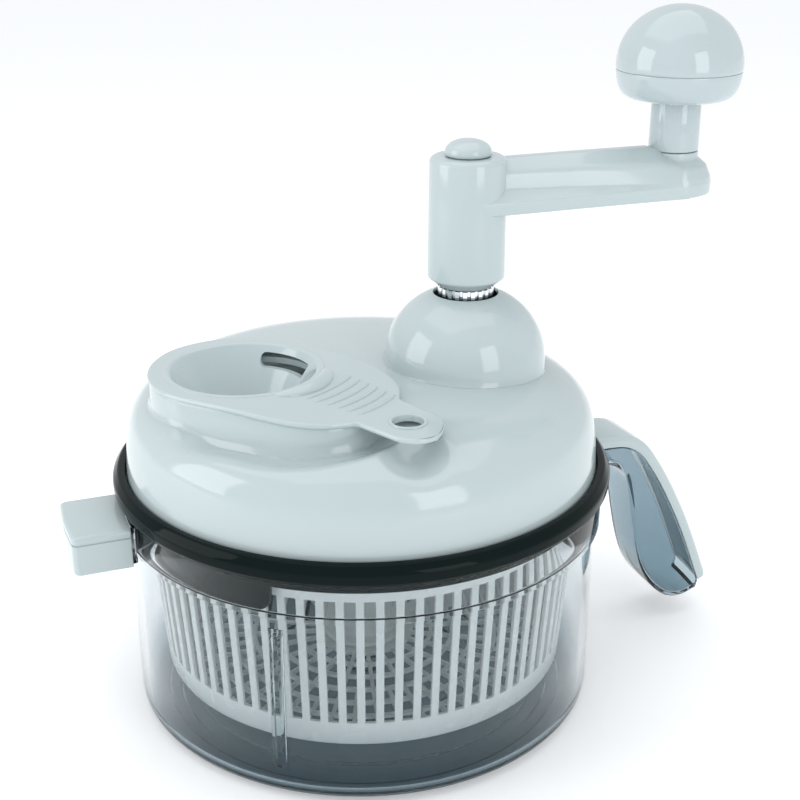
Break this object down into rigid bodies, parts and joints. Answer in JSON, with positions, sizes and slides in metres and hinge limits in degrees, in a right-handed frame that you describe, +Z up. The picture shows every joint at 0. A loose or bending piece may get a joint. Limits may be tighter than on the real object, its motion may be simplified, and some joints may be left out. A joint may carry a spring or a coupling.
{
  "type": "salad spinner",
  "caption": "Hand-cranked salad spinner and food processor: clear bowl with handle, locking ring, geared lid with funnel, crank with knob, and a slotted spinning basket.",
  "frame": {"origin": "middle of the bowl's flat underside", "axes": "+Z up along the bowl's axis, +X from the axis towards the handle, +Y to the left of the handle seen from above"},
  "size_m": [0.2981, 0.21, 0.2866],
  "materials": {
    "clear": "clear tinted gloss plastic",
    "smoke": "smoked gloss plastic",
    "white": "moulded gloss",
    "basket_white": "moulded satin gloss",
    "nylon": "natural nylon",
    "chrome": "bright plated",
    "steel": "plain turned steel"
  },
  "bodies": {
    "bowl_body": {"bowl": "clear", "pivot_pin": "steel", "handle_cover": "white", "grip_cover": "white"},
    "ring_body": {"locking_ring": "smoke"},
    "lid_body": {"lid_shell": "white", "bearing_dome": "white", "gearbox_cover": "nylon", "gearbox_screw_1": "steel", "gearbox_screw_2": "steel", "gearbox_screw_3": "steel", "gearbox_screw_4": "steel", "crank_bush": "steel", "pinion_bush": "nylon"},
    "crank_body": {"crank_arm": "white", "crank_cap": "white", "crank_screw": "steel", "drive_shaft": "steel", "shaft_clip": "steel", "shaft_collar": "chrome", "drive_gear": "nylon", "knob_pin": "steel"},
    "knob_body": {"knob_sleeve": "white", "knob_base": "white", "knob_shell": "white"},
    "pinion_body": {"pinion_gear": "nylon"},
    "funnel_body": {"funnel_insert": "white"},
    "basket_body": {"basket": "basket_white", "basket_hub": "basket_white"}
  },
  "joints": [
    {"name": "ring_twist", "type": "hinge", "parent": "bowl_body", "child": "ring_body", "pos_m": [0, 0, 0.098], "axis": [0, 0, 1], "range_deg": [0, 20]},
    {"name": "lid_lift", "type": "slide", "parent": "ring_body", "child": "lid_body", "axis": [0, 0, 1], "range_m": [0, 0.05]},
    {"name": "crank_turn", "type": "hinge", "parent": "lid_body", "child": "crank_body", "pos_m": [0.04475, -0.0047, 0.177], "axis": [0, 0, 1], "continuous": true},
    {"name": "knob_spin", "type": "hinge", "parent": "crank_body", "child": "knob_body", "pos_m": [0.13975, -0.0047, 0.2268], "axis": [0, 0, 1], "continuous": true},
    {"name": "pinion_turn", "type": "hinge", "parent": "lid_body", "child": "pinion_body", "pos_m": [0, 0, 0.123], "axis": [0, 0, 1], "continuous": true},
    {"name": "basket_spin", "type": "hinge", "parent": "bowl_body", "child": "basket_body", "pos_m": [0, 0, 0.0188], "axis": [0, 0, 1], "continuous": true},
    {"name": "funnel_lift", "type": "slide", "parent": "lid_body", "child": "funnel_body", "axis": [0, 0, 1], "range_m": [0, 0.04]}
  ],
  "couplings": [
    {"joint": "pinion_turn", "follows": "crank_turn", "ratio": -3},
    {"joint": "basket_spin", "follows": "crank_turn", "ratio": -3}
  ]
}
